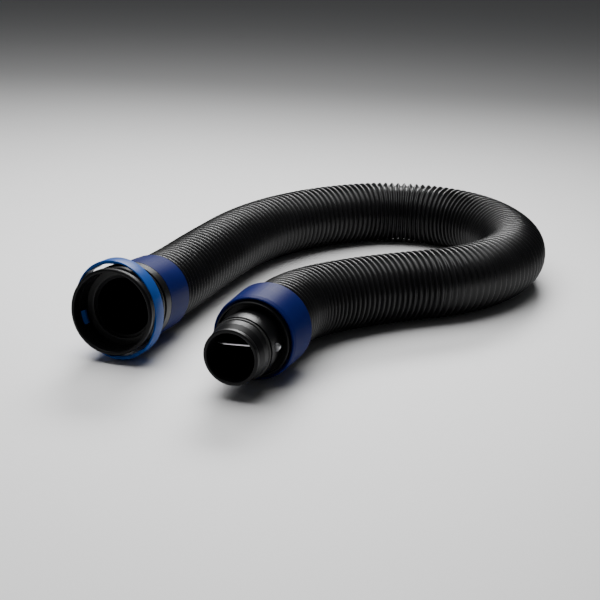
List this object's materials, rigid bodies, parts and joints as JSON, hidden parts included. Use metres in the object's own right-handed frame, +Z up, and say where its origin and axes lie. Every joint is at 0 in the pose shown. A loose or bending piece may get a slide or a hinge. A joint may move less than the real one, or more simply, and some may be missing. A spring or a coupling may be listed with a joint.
{
  "type": "respirator breathing hose",
  "caption": "Looped corrugated breathing hose with a swivelling socket coupling and oval latch hoop at one end and a stepped spigot coupling at the other, both with blue collars.",
  "frame": {"origin": "on the floor, midway between the two couplings' outer sides and midway along them", "axes": "+Z up; -Y is the way the blower coupling's mouth faces; +X from the head coupling to the blower coupling"},
  "size_m": [0.2089, 0.3318, 0.0533],
  "materials": {
    "black_plastic": "satin moulded black",
    "collar_plastic": "satin royal blue",
    "latch_plastic": "satin bright blue",
    "hose_rubber": "satin black, ribbed",
    "seal_rubber": "matt black",
    "spring_steel": "bright drawn"
  },
  "bodies": {
    "hose_assembly": {"hose": "hose_rubber", "head_tailpiece": "black_plastic", "head_collar_ring": "black_plastic", "head_collar": "collar_plastic", "swivel_clip": "spring_steel", "swivel_oring": "seal_rubber", "blower_spigot": "black_plastic", "spigot_oring": "seal_rubber", "blower_shroud": "black_plastic", "blower_collar": "collar_plastic", "lock_wire": "spring_steel"},
    "head_coupling": {"head_socket": "black_plastic", "socket_bezel": "black_plastic", "head_seal": "seal_rubber", "latch_strands": "latch_plastic"},
    "upper_pad": {"latch_pad_upper": "latch_plastic"},
    "lower_pad": {"latch_pad_lower": "latch_plastic"},
    "left_catch": {"latch_catch_left": "latch_plastic"},
    "right_catch": {"latch_catch_right": "latch_plastic"},
    "blower_catch": {"lock_catch": "spring_steel"}
  },
  "joints": [
    {"name": "head_swivel", "type": "hinge", "parent": "hose_assembly", "child": "head_coupling", "pos_m": [-0.03859, 0.0017, 0.02568], "axis": [0.0399, -0.993, 0.1115], "continuous": true},
    {"name": "latch_squeeze", "type": "slide", "parent": "head_coupling", "child": "upper_pad", "axis": [0.3459, -0.0909, -0.9338], "range_m": [0, 0.0022], "stiffness_N_per_m": 2000, "deforming": ["latch_strands"]},
    {"name": "latch_squeeze_lower", "type": "slide", "parent": "head_coupling", "child": "lower_pad", "axis": [-0.3459, 0.0909, 0.9338], "range_m": [0, 0.0022]},
    {"name": "latch_release_left", "type": "slide", "parent": "head_coupling", "child": "left_catch", "axis": [-0.9374, -0.0758, -0.3399], "range_m": [0, 0.00154]},
    {"name": "latch_release_right", "type": "slide", "parent": "head_coupling", "child": "right_catch", "axis": [0.9374, 0.0758, 0.3399], "range_m": [0, 0.00154]},
    {"name": "lock_press", "type": "slide", "parent": "hose_assembly", "child": "blower_catch", "axis": [-1, 0, 0], "range_m": [0, 0.0017], "stiffness_N_per_m": 1500, "deforming": ["lock_wire"]}
  ],
  "couplings": [
    {"joint": "latch_squeeze_lower", "follows": "latch_squeeze", "ratio": 1},
    {"joint": "latch_release_left", "follows": "latch_squeeze", "ratio": 0.7},
    {"joint": "latch_release_right", "follows": "latch_squeeze", "ratio": 0.7}
  ]
}
